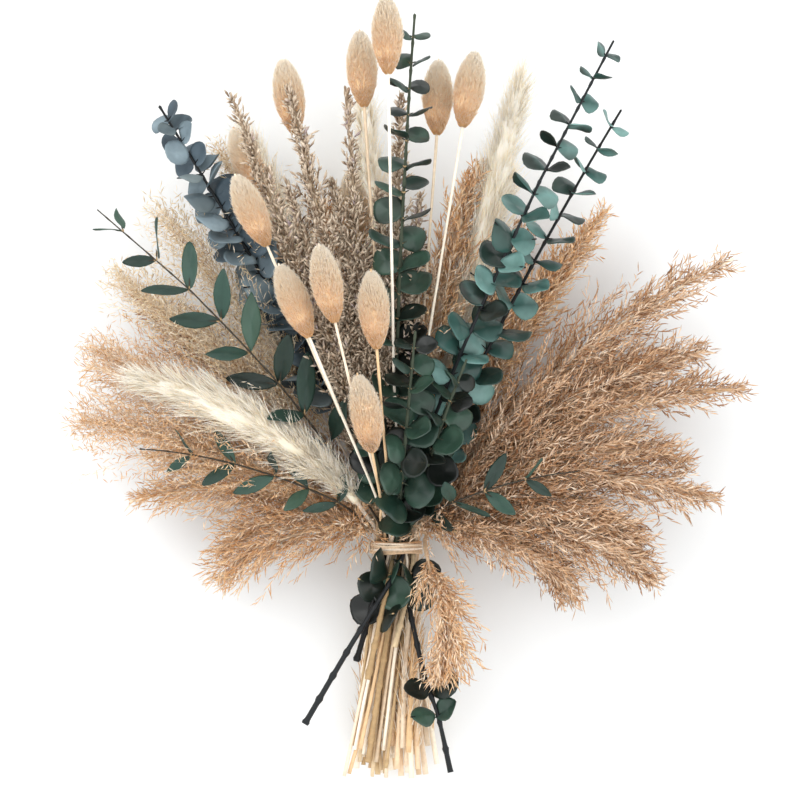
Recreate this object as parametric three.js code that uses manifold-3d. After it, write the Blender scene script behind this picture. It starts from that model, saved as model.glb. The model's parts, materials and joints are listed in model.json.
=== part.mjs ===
// A tied bunch of dried flowers, lying on its back. Millimetres, +Z up.
// The bunch's axis runs along Y: cut ends towards -Y, heads towards +Y.
// Every cut stem is one closed solid with its own head or leaves, and a raffia band holds them.
import * as THREE from "three";
import { mergeVertices } from "three/addons/utils/BufferGeometryUtils.js";
import Module from "manifold-3d";

const wasm = await Module();
wasm.setup();

// ---- Driving dimensions ----
const BUNCH_REACH = 300;        // from the tie to the furthest tip
const STEM_DROP = 120;          // from the tie down to the cut ends
const DROP_VARIATION = 9;       // how unevenly the ends are cut
const TIE_RADIUS = 13.5;        // of the bundle of stems inside the band
const TIE_HEIGHT = 28;          // of the bundle's middle above the surface
const END_HEIGHT = 21;          // of the middle of the cut ends above the surface
const TIE_HALF_GRIP = 10;       // the stems stay bundled this far each side of the tie
const END_SWELL = 1.35;         // how much thicker a stem is at its cut end than in the tie
const BAND_WIDTH = 6.5;
const BAND_THICKNESS = 1.3;
const TWIST_LENGTH = 50;        // the stems spiral by their own radius over this length
const GAP = 0.45;               // clear space kept between stems
const LEAF_GAP = 0.4;           // clear space kept round a leaf
const FLOOR_GAP = 0.2;          // clear space kept under a leaf
const NO_VOLUME = 1e-6;
const SAME_PLACE = 1e-4;        // vertices nearer than this are one

// ---- The kinds of plant ----
// stalk: radius at the cut end. head: length share and greatest radius of the head.
// room: radius kept free round a leafy stretch, where it is wider than the stem.
const KINDS = {
  eucalyptus: { stalk: 1.5, tip: 0.8, sides: 5, room: 5, color: 0x2f3d33 },
  sprig: { stalk: 1.1, tip: 0.6, sides: 5, room: 2.6, color: 0x31463c },
  bunny_tail: { stalk: 0.8, tip: 0.8, sides: 5, headLength: 42, headRadius: 9.5, color: 0xe6c9a2 },
  pampas: { stalk: 1.4, tip: 0.8, sides: 5, headShare: 0.62, headRadius: 10.5, color: 0xe5d8bd },
  reed: { stalk: 1.2, tip: 0.8, sides: 5, headShare: 0.68, headRadius: 6, color: 0xa9805a },
  fine_grass: { stalk: 0.7, tip: 0.6, sides: 5, headShare: 0.5, headRadius: 3.4, color: 0xcbb48c },
  lavender: { stalk: 0.8, tip: 0.6, sides: 5, headShare: 0.6, headRadius: 3.2, color: 0x8f7f80 },
};

// ---- The planting plan ----
// lean: degrees from the bunch's axis to the tip, positive to the right.
// reach: tie to tip, as a share of BUNCH_REACH. lift: height of the arch above the surface.
// turn: degrees that the stem bends along its length. droop: how far its tip sinks from the arch.
// ripple: how much longer or shorter a fan's stems are by turns, as a share of BUNCH_REACH.
// leafFrom: share of the stem that is bare above the tie. leaf: length of its largest leaf.
// spacing and roll: distance between its pairs of leaves, and degrees that each leaf rolls about
// its midrib to face upward, where they aren't its kind's usual ones.
// splay: degrees that the cut end stands out sideways, and drop: its share of STEM_DROP.
// leavesBelow: distances below the tie of leaf pairs that were left on.
const EUCALYPTUS = [
  { name: "eucalyptus_centre", lean: 2, reach: 0.97, lift: 118, turn: 4, leafFrom: 0.2, leaf: 17 },
  { name: "eucalyptus_right_front", lean: 23, reach: 1, lift: 124, turn: 10, leafFrom: 0.14, leaf: 16,
    splay: -21, drop: 0.76 },
  { name: "eucalyptus_right_back", lean: 27, reach: 0.9, lift: 100, turn: 8, leafFrom: 0.14, leaf: 17,
    splay: -17, drop: 0.6 },
  { name: "eucalyptus_blue", lean: -28, reach: 0.92, lift: 84, turn: -6, leafFrom: 0.34, leaf: 15,
    spacing: 7, roll: 44, splay: 17, drop: 0.98, leavesBelow: [84, 98] },
  { name: "eucalyptus_low_front", lean: 5, reach: 0.4, lift: 122, turn: 0, leafFrom: 0.17, leaf: 18,
    spacing: 11, splay: -4, drop: 0.62, leavesBelow: [15, 27, 40] },
  { name: "eucalyptus_low_right", lean: 20, reach: 0.38, lift: 104, turn: 8, leafFrom: 0.2, leaf: 17,
    spacing: 11, splay: 3, drop: 0.5, leavesBelow: [17, 30] },
  { name: "eucalyptus_low_left", lean: -14, reach: 0.26, lift: 90, turn: -4, leafFrom: 0.24, leaf: 15,
    spacing: 11 },
];
const SPRIGS = [
  { name: "sprig_left", lean: -41, reach: 0.82, lift: 116, turn: -20, leafFrom: 0.3, leaf: 26 },
  { name: "sprig_lower_left", lean: -68, reach: 0.5, lift: 104, turn: -34, leafFrom: 0.3, leaf: 20 },
  { name: "sprig_lower_right", lean: 66, reach: 0.36, lift: 106, turn: 34, leafFrom: 0.3, leaf: 20 },
];
const BUNNY_TAILS = [
  { lean: -5, reach: 0.51, lift: 138 },
  { lean: -14, reach: 0.57, lift: 142 },
  { lean: -22, reach: 0.56, lift: 128 },
  { lean: -23, reach: 0.74, lift: 122 },
  { lean: -12, reach: 0.33, lift: 134 },
  { lean: -13, reach: 0.92, lift: 98 },
  { lean: -21, reach: 0.83, lift: 80 },
  { lean: -4, reach: 0.95, lift: 100 },
  { lean: -1, reach: 1, lift: 132 },
  { lean: 5, reach: 0.9, lift: 92 },
  { lean: 9, reach: 0.92, lift: 104 },
  { lean: -7, reach: 0.7, lift: 84 },
];
const PAMPAS = [
  { name: "pampas_left", lean: -57, reach: 0.58, lift: 112, turn: -42 },
  { name: "pampas_back_right", lean: 15, reach: 0.93, lift: 76, turn: 4 },
  { name: "pampas_back_left", lean: -20, reach: 0.85, lift: 48, turn: -8 },
  { name: "pampas_back_centre", lean: -4, reach: 0.85, lift: 40, turn: 0 },
];
// A fan spreads its stems evenly from the first to the last value of each pair.
const FANS = [
  { kind: "reed", name: "reed_right", count: 8, lean: [50, 108], reach: [0.82, 0.4],
    turn: [30, 100], lift: [72, 84], droop: [12, 48], ripple: 0.045 },
  { kind: "reed", name: "reed_left", count: 5, lean: [-60, -103], reach: [0.65, 0.3],
    turn: [-28, -90], lift: [62, 54], droop: [16, 30], ripple: 0.05 },
  { kind: "reed", name: "reed_under", count: 4, lean: [-46, 56], reach: [0.72, 0.66],
    turn: [-12, 16], lift: [26, 24], droop: [6, 8] },
  { kind: "reed", name: "reed_low", count: 1, lean: [164, 164], reach: [0.26, 0.26],
    turn: [100, 100], lift: [66, 66], droop: [14, 14] },
  { kind: "reed", name: "reed_top", count: 2, lean: [13, 32], reach: [0.76, 0.78],
    turn: [4, 12], lift: [76, 46], droop: [4, 6] },
  { kind: "fine_grass", name: "fine_grass", count: 5, lean: [-24, -68], reach: [0.85, 0.65],
    turn: [-10, -26], lift: [68, 92], droop: [8, 20] },
  { kind: "lavender", name: "lavender", count: 8, lean: [-20, 4], reach: [0.84, 0.78],
    turn: [-6, 4], lift: [108, 88], droop: [2, 4], ripple: 0.09 },
];

const mix = (from, to, share) => from + (to - from) * share;
const radians = THREE.MathUtils.degToRad;

function fanStems(fan) {
  return Array.from({ length: fan.count }, (_, index) => {
    const share = fan.count > 1 ? index / (fan.count - 1) : 0;
    const ripple = (fan.ripple ?? 0) * (index % 2 ? -1 : 1);
    return {
      kind: fan.kind,
      name: `${fan.name}_${index + 1}`,
      lean: mix(...fan.lean, share),
      reach: mix(...fan.reach, share) + ripple,
      turn: mix(...fan.turn, share),
      lift: mix(...fan.lift, share),
      droop: mix(...fan.droop, share),
    };
  });
}

function plantingPlan() {
  return [
    ...EUCALYPTUS.map((stem) => ({ kind: "eucalyptus", ...stem })),
    ...SPRIGS.map((stem) => ({ kind: "sprig", ...stem })),
    ...BUNNY_TAILS.map((stem, index) => ({ kind: "bunny_tail", name: `bunny_tail_${index + 1}`, ...stem })),
    ...PAMPAS.map((stem) => ({ kind: "pampas", droop: 6, ...stem })),
    ...FANS.flatMap(fanStems),
  ];
}

// ---- A stem's line, before it is settled among its neighbours ----
const STALK_STATIONS = 6;
const HEAD_STATIONS = 6;
const HIGHEST_LIFT = 142;
const WIDEST_LEAN = 110;
const SPLAY_RISE = 0.22;        // a splayed cut end also stands clear in front of the others
const FLATTENING = 0.5;         // the cut ends spread less upward than sideways
const GOLDEN_ANGLE = radians(137.5);
const BUNDLE_FILL = 0.8;        // how far out in the bundle a stem may start, before settling
const ARCH_TOP = 0.7;           // share of a stem's length at which its arch is highest
const DROOP_FROM = 0.5;         // share of a stem's length at which it starts to droop
const USUAL_DROOP = 3;
const STRAIGHT = 1e-3;          // radians of bend below which a stem counts as straight
const MID_DROP = 0.55;          // share of the drop at which a stem has a station below the tie
const TIE_INFLUENCE = 0.2;      // share of a stem's length over which its place in the tie fades
const TIP_SHARE = 0.6;          // stations' worth of length left for a head's pointed tip
const HEAD_FULLNESS = 0.7;
const HEAD_LOW_SWELL = 0.8;
const TIP_POINT = 1.2;          // length of the stem's end point, in its own radii

/** The radius of a head at a share of its length: rounded below, drawn out above. */
function headSwell(share) {
  return Math.sin(Math.PI * share ** HEAD_LOW_SWELL) ** HEAD_FULLNESS;
}

/** Where the stem stands in the bundle: its lean sets the side, its lift sets the height. */
function placeInTie(stem) {
  const side = stem.lean / WIDEST_LEAN;
  const height = (2 * stem.lift) / HIGHEST_LIFT - 1;
  const flat = new THREE.Vector2(side, height);
  return flat.multiplyScalar((TIE_RADIUS * BUNDLE_FILL) / Math.max(1, flat.length()));
}

/** A point above the tie: the heading turns steadily, and the arch rises and then droops. */
function pointAlong(stem, share) {
  const chord = stem.reach * BUNCH_REACH;
  const turn = radians(stem.turn ?? 0);
  const half = turn / 2;
  const arc = Math.abs(half) > STRAIGHT ? (chord * half) / Math.sin(half) : chord;
  const heading = radians(stem.lean) - half + (turn * share) / 2;
  const bend = (turn * share) / 2;
  const gone = Math.abs(bend) > STRAIGHT ? (arc * share * Math.sin(bend)) / bend : arc * share;
  const rise = Math.sin((Math.PI / 2) * Math.min(1, share / ARCH_TOP));
  const sink = (stem.droop ?? USUAL_DROOP) * Math.max(0, (share - DROOP_FROM) / (1 - DROOP_FROM)) ** 2;
  const height = mix(TIE_HEIGHT, stem.lift, rise) - sink;
  return new THREE.Vector3(Math.sin(heading) * gone, Math.cos(heading) * gone, height);
}

/** A point below the tie: the stems open out in a spiral, so none crosses another. */
function pointBelow(place, distance) {
  const twist = distance / TWIST_LENGTH;
  const middle = mix(TIE_HEIGHT, END_HEIGHT, distance / STEM_DROP);
  return new THREE.Vector3(
    place.x - place.y * twist,
    -distance,
    middle + place.y + place.x * twist * FLATTENING,
  );
}

function layOut(stem, index) {
  const kind = KINDS[stem.kind];
  const place = placeInTie(stem);
  const length = stem.reach * BUNCH_REACH;
  const drop = (stem.drop ?? 1) * STEM_DROP + DROP_VARIATION * Math.sin(index * GOLDEN_ANGLE);
  const headLength = kind.headLength ?? (kind.headShare ?? 0) * length;
  const headFrom = 1 - headLength / length;
  const stations = [];
  const addStation = (point, radius, room) => stations.push({ point, radius, room: room ?? radius });

  for (const distance of [drop, drop * MID_DROP, TIE_HALF_GRIP]) {
    const point = pointBelow(place, distance);
    point.x += Math.tan(radians(stem.splay ?? 0)) * distance;
    if (stem.splay) point.z += SPLAY_RISE * distance;
    const swell = mix(END_SWELL, 1, (drop - distance) / (drop - TIE_HALF_GRIP));
    addStation(point, kind.stalk * swell);
  }
  const stalkEnd = headLength > 0 ? headFrom : 1;
  const stalkFrom = TIE_HALF_GRIP / length;
  const stalkCount = headLength > 0 ? STALK_STATIONS : STALK_STATIONS + HEAD_STATIONS;
  for (let step = 0; step <= stalkCount; step += 1) {
    const share = mix(stalkFrom, stalkEnd, step / stalkCount);
    const point = pointAlong(stem, share);
    const near = Math.max(0, 1 - (share - stalkFrom) / TIE_INFLUENCE);
    point.x += place.x * near;
    point.z += place.y * near;
    const leafy = kind.room && share > stem.leafFrom;
    addStation(point, mix(kind.stalk, kind.tip, share), leafy ? kind.room : undefined);
  }
  for (let step = 1; headLength > 0 && step <= HEAD_STATIONS; step += 1) {
    const share = step / (HEAD_STATIONS + TIP_SHARE);
    const radius = Math.max(kind.tip, kind.headRadius * headSwell(share));
    addStation(pointAlong(stem, mix(headFrom, 1, share)), radius);
  }
  return { ...stem, ...kind, kindName: stem.kind, stations };
}

// ---- Settling: stems that would touch are moved apart ----
const SETTLING_ROUNDS = 700;
const SMOOTHING = 0.25;
const SMOOTHED_SHARE = 0.5;     // of the rounds: the later ones only part the stems
const PAIRING_EVERY = 10;       // rounds between new searches for near pairs
const PAIRING_MARGIN = 14;
const SETTLED = 0.02;           // closeness left that counts as settled
const COINCIDENT = 1e-6;
const PARALLEL = 1e-9;
const BELOW_TIE = 2;            // the station just below the tie
const ABOVE_TIE = 3;            // and the one just above it

/** Fractions along two straight pieces where they pass closest. */
function closestFractions(a, b, c, d) {
  const u = b.clone().sub(a);
  const v = d.clone().sub(c);
  const w = a.clone().sub(c);
  const uu = u.dot(u);
  const uv = u.dot(v);
  const vv = v.dot(v);
  const uw = u.dot(w);
  const vw = v.dot(w);
  const area = uu * vv - uv * uv;
  let s = area > PARALLEL ? THREE.MathUtils.clamp((uv * vw - vv * uw) / area, 0, 1) : 0.5;
  const t = THREE.MathUtils.clamp((uv * s + vw) / vv, 0, 1);
  s = THREE.MathUtils.clamp((uv * t - uw) / uu, 0, 1);
  return [s, t];
}

/** Pairs of stem pieces near enough to matter. */
function nearPairs(stems, margin) {
  const pieces = stems.flatMap((stem, owner) => stem.stations.slice(1).map((end, index) => {
    const start = stem.stations[index];
    const middle = start.point.clone().add(end.point).multiplyScalar(0.5);
    const size = start.point.distanceTo(end.point) / 2 + Math.max(start.room, end.room);
    return { owner, start, end, middle, size };
  }));
  const pairs = [];
  for (let i = 0; i < pieces.length; i += 1) {
    for (let j = i + 1; j < pieces.length; j += 1) {
      const [p, q] = [pieces[i], pieces[j]];
      if (p.owner !== q.owner && p.middle.distanceTo(q.middle) < p.size + q.size + margin) {
        pairs.push([p, q]);
      }
    }
  }
  return pairs;
}

function partPair([p, q]) {
  const [s, t] = closestFractions(p.start.point, p.end.point, q.start.point, q.end.point);
  const onP = p.start.point.clone().lerp(p.end.point, s);
  const onQ = q.start.point.clone().lerp(q.end.point, t);
  const away = onP.sub(onQ);
  const distance = away.length();
  const needed = mix(p.start.room, p.end.room, s) + mix(q.start.room, q.end.room, t) + GAP;
  if (distance >= needed) return 0;
  if (distance > COINCIDENT) away.multiplyScalar(1 / distance);
  else away.set(0, 0, p.owner > q.owner ? 1 : -1);
  const push = (needed - distance) * 0.5;
  for (const [piece, fraction, sign] of [[p, s, 1], [q, t, -1]]) {
    const weight = (1 - fraction) ** 2 + fraction ** 2;
    piece.start.point.addScaledVector(away, (sign * push * (1 - fraction)) / weight);
    piece.end.point.addScaledVector(away, (sign * push * fraction) / weight);
  }
  return needed - distance;
}

function keepInTie(station, side) {
  const { point, radius } = station;
  point.y = side * TIE_HALF_GRIP;
  const across = Math.hypot(point.x, point.z - TIE_HEIGHT);
  const limit = TIE_RADIUS - radius;
  if (across > limit) {
    point.x *= limit / across;
    point.z = TIE_HEIGHT + ((point.z - TIE_HEIGHT) * limit) / across;
  }
}

function smooth(stem) {
  const shifts = stem.stations.map((station) => station.point.clone().sub(station.rest));
  stem.stations.forEach((station, index) => {
    if (index === 0 || index === shifts.length - 1) return;
    const mean = shifts[index - 1].clone().add(shifts[index + 1]).multiplyScalar(0.5);
    station.point.copy(station.rest).add(shifts[index].clone().lerp(mean, SMOOTHING));
  });
}

function settle(stems) {
  for (const stem of stems) {
    for (const station of stem.stations) station.rest = station.point.clone();
  }
  let pairs = [];
  let worst = 0;
  for (let round = 0; round < SETTLING_ROUNDS; round += 1) {
    const smoothing = round < SETTLING_ROUNDS * SMOOTHED_SHARE;
    if (round % PAIRING_EVERY === 0) pairs = nearPairs(stems, PAIRING_MARGIN);
    if (smoothing) stems.forEach(smooth);
    worst = 0;
    for (const pair of pairs) worst = Math.max(worst, partPair(pair));
    for (const stem of stems) {
      for (const station of stem.stations) {
        station.point.z = Math.max(station.point.z, station.room);
      }
      keepInTie(stem.stations[BELOW_TIE], -1);
      keepInTie(stem.stations[ABOVE_TIE], 1);
    }
    if (worst < SETTLED && !smoothing) break;
  }
  return worst;
}

// ---- Solids ----
/** A closed lathe of the stem's radii, bent along the stem's line. */
function stemGeometry(stem) {
  const { stations, sides } = stem;
  const points = stations.map((station) => station.point);
  const last = points.length - 1;
  const startCap = points[0];
  const tipCap = points[last].clone().add(
    points[last].clone().sub(points[last - 1]).setLength(stations[last].radius * TIP_POINT),
  );
  const profile = [
    new THREE.Vector2(0, 0),
    ...stations.map((station, index) => new THREE.Vector2(station.radius, index)),
    new THREE.Vector2(0, points.length),
  ];
  const geometry = new THREE.LatheGeometry(profile, sides);
  const rows = profile.length;
  const position = geometry.getAttribute("position");
  let across = new THREE.Vector3(1, 0, 0);
  const rings = points.map((point, index) => {
    const before = points[Math.max(0, index - 1)];
    const after = points[Math.min(last, index + 1)];
    const along = after.clone().sub(before).normalize();
    across = across.clone().addScaledVector(along, -across.dot(along)).normalize();
    return { point, across, up: along.clone().cross(across), radius: stations[index].radius };
  });
  for (let turn = 0; turn <= sides; turn += 1) {
    const angle = ((turn % sides) * 2 * Math.PI) / sides;
    for (let row = 0; row < rows; row += 1) {
      const vertex = new THREE.Vector3();
      if (row === 0) vertex.copy(startCap);
      else if (row === rows - 1) vertex.copy(tipCap);
      else {
        const ring = rings[row - 1];
        vertex.copy(ring.point)
          .addScaledVector(ring.across, -Math.sin(angle) * ring.radius)
          .addScaledVector(ring.up, Math.cos(angle) * ring.radius);
      }
      position.setXYZ(turn * rows + row, vertex.x, vertex.y, vertex.z);
    }
  }
  return geometry;
}

function toSolid(geometry) {
  const bare = geometry.clone();
  bare.deleteAttribute("normal");
  bare.deleteAttribute("uv");
  const merged = mergeVertices(bare, SAME_PLACE);
  const index = merged.getIndex().array;
  const triangles = [];
  for (let i = 0; i < index.length; i += 3) {
    const [a, b, c] = [index[i], index[i + 1], index[i + 2]];
    if (a !== b && b !== c && c !== a) triangles.push(a, b, c);
  }
  const vertProperties = new Float32Array(merged.getAttribute("position").array);
  let solid = new wasm.Manifold(new wasm.Mesh({
    numProp: 3, vertProperties, triVerts: new Uint32Array(triangles),
  }));
  if (solid.volume() < 0) {
    const flipped = new Uint32Array(triangles);
    for (let i = 0; i < flipped.length; i += 3) {
      [flipped[i], flipped[i + 1]] = [flipped[i + 1], flipped[i]];
    }
    solid = new wasm.Manifold(new wasm.Mesh({ numProp: 3, vertProperties, triVerts: flipped }));
  }
  return solid;
}

function toGeometry(solid) {
  const mesh = solid.getMesh();
  const geometry = new THREE.BufferGeometry();
  geometry.setAttribute("position", new THREE.BufferAttribute(mesh.vertProperties, 3));
  geometry.setIndex(new THREE.BufferAttribute(mesh.triVerts, 1));
  geometry.computeVertexNormals();
  return geometry;
}

// ---- Leaves ----
const LEAF_CORNERS = [180, 82, 28, -28, -82];   // degrees round the blade, from its root in the stem
const LEAF_THICKNESS = 1.4;
const THINNEST_FACET = 0.004;   // a leaf whose joint would leave a thinner facet turns aside
const LEAF_STYLES = {
  eucalyptus: { spacing: 14, width: 1, forward: 20, pairTurn: 38, roll: 26 },
  sprig: { spacing: 24, width: 0.36, forward: 42, pairTurn: 25, roll: 70 },
};
const ROOT_OFFSET = 0.35;       // a leaf's root from the stem's middle: opposite leaves stay apart
const BELOW_RISE = 24;          // degrees above sideways that leaves below the tie stand out
const BELOW_ROLL = 78;          // degrees: these leaves lie nearly flat over the bundle
const BELOW_SIZE = 1;           // of a leaf left on below the tie, as a share of the largest
const TIP_SHRINKING = 0.5;      // how much smaller the last leaves are
const SHRINK_EASE = 1.5;        // above 1, the leaves shrink slowly at first
const SHRINK_FROM = 0.55;       // share of the stem above the tie at which leaves start to shrink
const LAST_PAIR = 3;            // from the tip to the last pair
// Each try turns a leaf aside by so many degrees and scales it, until it touches nothing.
const LEAF_TRIES = [
  [0, 1], [20, 1], [-20, 1], [40, 1], [-40, 1], [60, 0.9], [-60, 0.9], [0, 0.8], [30, 0.75], [-30, 0.75],
  [80, 0.7], [-80, 0.7], [0, 0.6], [45, 0.55], [-45, 0.55],
];

/** A thin blade: centred at size along the outward direction, so its first corner is in the stem. */
function leafGeometry(root, outward, normal, size, width, grow) {
  const across = normal.clone().cross(outward);
  const middle = root.clone().addScaledVector(outward, size);
  const half = LEAF_THICKNESS / 2 + grow;
  const corners = [half, -half].map((offset) => middle.clone().addScaledVector(normal, offset));
  for (const corner of LEAF_CORNERS) {
    const angle = radians(corner);
    corners.push(middle.clone()
      .addScaledVector(outward, Math.cos(angle) * (size + grow))
      .addScaledVector(across, Math.sin(angle) * (size * width + grow)));
  }
  const index = [];
  for (let side = 0; side < LEAF_CORNERS.length; side += 1) {
    const here = 2 + side;
    const next = 2 + ((side + 1) % LEAF_CORNERS.length);
    index.push(0, here, next, 1, next, here);
  }
  const geometry = new THREE.BufferGeometry();
  const coordinates = corners.flatMap((corner) => corner.toArray());
  geometry.setAttribute("position", new THREE.Float32BufferAttribute(coordinates, 3));
  geometry.setIndex(index);
  return geometry;
}

function pointAtDistance(stations, distance) {
  let left = distance;
  for (let index = 1; index < stations.length; index += 1) {
    const start = stations[index - 1].point;
    const end = stations[index].point;
    const length = start.distanceTo(end);
    if (left <= length) {
      return { point: start.clone().lerp(end, left / length), along: end.clone().sub(start).normalize() };
    }
    left -= length;
  }
  return null;
}

function boxesMeet(a, b) {
  return [0, 1, 2].every((axis) => a.min[axis] <= b.max[axis] && b.min[axis] <= a.max[axis]);
}

/** Whether a leaf, with its clear space, meets anything but its own stem and the leaf opposite. */
function touches(solid, obstacles, owner, place) {
  const box = solid.boundingBox();
  if (box.min[2] < FLOOR_GAP) return true;
  return obstacles.some((other) => {
    if (other.owner === owner && (!other.leafAt || other.leafAt === place)) return false;
    return boxesMeet(box, other.box) && solid.intersect(other.solid).volume() > NO_VOLUME;
  });
}

/** Whether every facet of a solid is wide enough to survive being written out. */
function isSound(solid) {
  const { vertProperties, triVerts } = solid.getMesh();
  const corner = (vertex) => new THREE.Vector3().fromArray(vertProperties, vertex * 3);
  for (let i = 0; i < triVerts.length; i += 3) {
    const [a, b, c] = [corner(triVerts[i]), corner(triVerts[i + 1]), corner(triVerts[i + 2])];
    const longest = Math.max(a.distanceTo(b), b.distanceTo(c), c.distanceTo(a));
    const doubleArea = b.sub(a).cross(c.sub(a)).length();
    if (doubleArea < THINNEST_FACET * longest) return false;
  }
  return true;
}

/** The blade faces along the stem, then rolls about its own midrib to face upward. */
function rolledNormal(outward, side, along, roll) {
  const facing = outward.clone().cross(along.clone().cross(side)).normalize();
  const edge = outward.clone().cross(facing);
  const upward = edge.z < 0 ? -1 : 1;
  return facing.multiplyScalar(Math.cos(roll)).addScaledVector(edge, upward * Math.sin(roll)).normalize();
}

/** Finds a turn and size at which the leaf touches nothing and joins its stem cleanly. */
function growLeaf(stem, grown, place, angle, roll, size, obstacles) {
  const style = LEAF_STYLES[stem.kindName];
  const across = new THREE.Vector3(0, 0, 1).cross(place.along).normalize();
  const up = place.along.clone().cross(across);
  for (const [aside, scale] of LEAF_TRIES) {
    const turned = angle + radians(aside);
    const side = across.clone().multiplyScalar(Math.cos(turned)).addScaledVector(up, Math.sin(turned));
    const forward = radians(style.forward);
    const outward = side.clone().multiplyScalar(Math.cos(forward))
      .addScaledVector(place.along, Math.sin(forward));
    const normal = rolledNormal(outward, side, place.along, radians(roll));
    const root = place.point.clone().addScaledVector(side, ROOT_OFFSET);
    const guard = toSolid(leafGeometry(root, outward, normal, size * scale, style.width, LEAF_GAP));
    if (!touches(guard, obstacles, stem.name, place)) {
      const leaf = toSolid(leafGeometry(root, outward, normal, size * scale, style.width, 0));
      const joined = grown.add(leaf);
      if (isSound(joined)) return { leaf, joined };
    }
  }
  return null;
}

/** Distances from the cut end at which pairs of leaves grow, with each pair's size. */
function leafPlaces(stem, spacing) {
  const points = stem.stations.map((station) => station.point);
  const lengths = points.slice(1).map((end, index) => end.distanceTo(points[index]));
  const total = lengths.reduce((sum, length) => sum + length, 0);
  const toTie = lengths[0] + lengths[1] + lengths[2] / 2;
  const places = (stem.leavesBelow ?? []).map((distance) => (
    { gone: toTie - distance, size: BELOW_SIZE, below: true }
  ));
  const above = total - toTie;
  for (let gone = stem.leafFrom * above; gone < above - LAST_PAIR; gone += spacing) {
    const nearTip = Math.max(0, (gone / above - SHRINK_FROM) / (1 - SHRINK_FROM));
    places.push({ gone: toTie + gone, size: 1 - TIP_SHRINKING * nearTip ** SHRINK_EASE });
  }
  return places;
}

/** Opposite pairs of leaves, turned to one side and the other by turns, smaller towards the tip. */
function growLeaves(stem, solid, obstacles) {
  const style = LEAF_STYLES[stem.kindName];
  let grown = solid;
  leafPlaces(stem, stem.spacing ?? style.spacing).forEach(({ gone, size, below }, pair) => {
    const place = pointAtDistance(stem.stations, gone);
    const turn = pair % 2 ? style.pairTurn : -style.pairTurn;
    const angles = below ? [BELOW_RISE, 180 - BELOW_RISE] : [turn, turn + 180];
    const roll = below ? BELOW_ROLL : stem.roll ?? style.roll;
    for (const angle of angles.map(radians)) {
      const growth = growLeaf(stem, grown, place, angle, roll, (stem.leaf / 2) * size, obstacles);
      if (growth) {
        const { leaf, joined } = growth;
        grown = joined;
        obstacles.push({ owner: stem.name, solid: leaf, box: leaf.boundingBox(), leafAt: place });
      }
    }
  });
  return grown;
}

// ---- The raffia tie ----
const BAND_SEGMENTS = 20;
const RAFFIA_COLOR = 0xd0a57c;
const BAND_CROWN = 0.3;         // the band is slightly fuller along its middle
const KNOT_RADIUS = 4.2;
const KNOT_SIDES = 8;
const KNOT_ROWS = 6;
const KNOT_FLATNESS = 0.55;
const KNOT_WIDTH = 0.9;
const KNOT_OVERLAP = 0.4;       // how far out the knot's middle stands, in its own radii
const KNOT_RISE = 5;            // the knot sits this far above the bundle's middle

function raffiaTie() {
  const inner = TIE_RADIUS + GAP;
  const outer = inner + BAND_THICKNESS;
  const half = BAND_WIDTH / 2;
  const outline = [
    [inner, -half], [outer, -half], [outer + BAND_CROWN, 0], [outer, half], [inner, half], [inner, -half],
  ].map(([across, along]) => new THREE.Vector2(across, along));
  const band = new THREE.LatheGeometry(outline, BAND_SEGMENTS);
  band.translate(0, 0, TIE_HEIGHT);
  const knot = new THREE.SphereGeometry(KNOT_RADIUS, KNOT_SIDES, KNOT_ROWS);
  knot.scale(KNOT_FLATNESS, KNOT_WIDTH, KNOT_WIDTH);
  knot.translate(-outer - KNOT_RADIUS * KNOT_OVERLAP, 0, TIE_HEIGHT + KNOT_RISE);
  const clear = new THREE.CylinderGeometry(inner, inner, BAND_WIDTH + 2 * KNOT_RADIUS, BAND_SEGMENTS);
  clear.translate(0, 0, TIE_HEIGHT);
  return toSolid(band).add(toSolid(knot).subtract(toSolid(clear)));
}

// ---- The whole bunch ----
function meshOf(name, geometry, color) {
  const material = new THREE.MeshStandardMaterial({ color, roughness: 0.9, metalness: 0 });
  const mesh = new THREE.Mesh(geometry, material);
  mesh.name = name;
  return mesh;
}

function buildBunch() {
  const stems = plantingPlan().map(layOut);
  const left = settle(stems);
  if (left > GAP) console.warn(`stems still ${left.toFixed(2)} mm too close after settling`);

  const tie = raffiaTie();
  const obstacles = [{ owner: "raffia_tie", solid: tie, box: tie.boundingBox() }];
  const solids = new Map(stems.map((stem) => [stem.name, toSolid(stemGeometry(stem))]));
  for (const [owner, solid] of solids) obstacles.push({ owner, solid, box: solid.boundingBox() });

  const bunch = new THREE.Group();
  bunch.add(meshOf("raffia_tie", toGeometry(tie), RAFFIA_COLOR));
  for (const stem of stems) {
    const bare = solids.get(stem.name);
    const solid = LEAF_STYLES[stem.kindName] ? growLeaves(stem, bare, obstacles) : bare;
    bunch.add(meshOf(stem.name, toGeometry(solid), stem.color));
  }
  const box = new THREE.Box3().setFromObject(bunch);
  const middle = box.getCenter(new THREE.Vector3());
  bunch.position.set(-middle.x, -middle.y, -box.min.z);
  return bunch;
}

export default buildBunch();
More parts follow.
